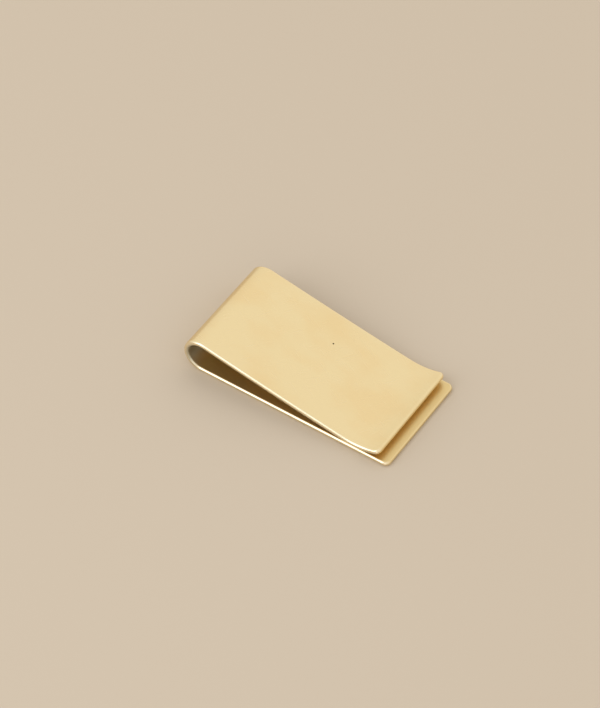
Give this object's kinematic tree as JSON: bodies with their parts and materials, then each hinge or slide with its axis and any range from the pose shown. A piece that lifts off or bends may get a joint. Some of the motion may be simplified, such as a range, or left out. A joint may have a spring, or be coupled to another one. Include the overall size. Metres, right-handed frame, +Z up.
{
  "type": "money clip",
  "caption": "Folded brass money clip: a flat back leaf, a round sprung bend, and a sloping front leaf with a flared lip that grips folded notes.",
  "frame": {"origin": "middle of the clip's length and width, on the face that it lies on", "axes": "+X from the bend to the mouth, +Y across the strip, +Z up through the leaves"},
  "size_m": [0.05, 0.0254, 0.0087],
  "materials": {
    "strip": "satin faces with polished, rounded edges"
  },
  "bodies": {
    "back": {"back_leaf": "strip", "spring_bend": "strip"},
    "front": {"front_leaf": "strip", "flared_lip": "strip"}
  },
  "joints": [
    {"name": "leaf_flex", "type": "hinge", "parent": "back", "child": "front", "pos_m": [-0.02065, 0, 0.00435], "axis": [0, -1, 0], "range_deg": [0, 8], "stiffness_Nm_per_rad": 7.2, "springref_deg": -0.29, "deforming": ["spring_bend"]}
  ]
}
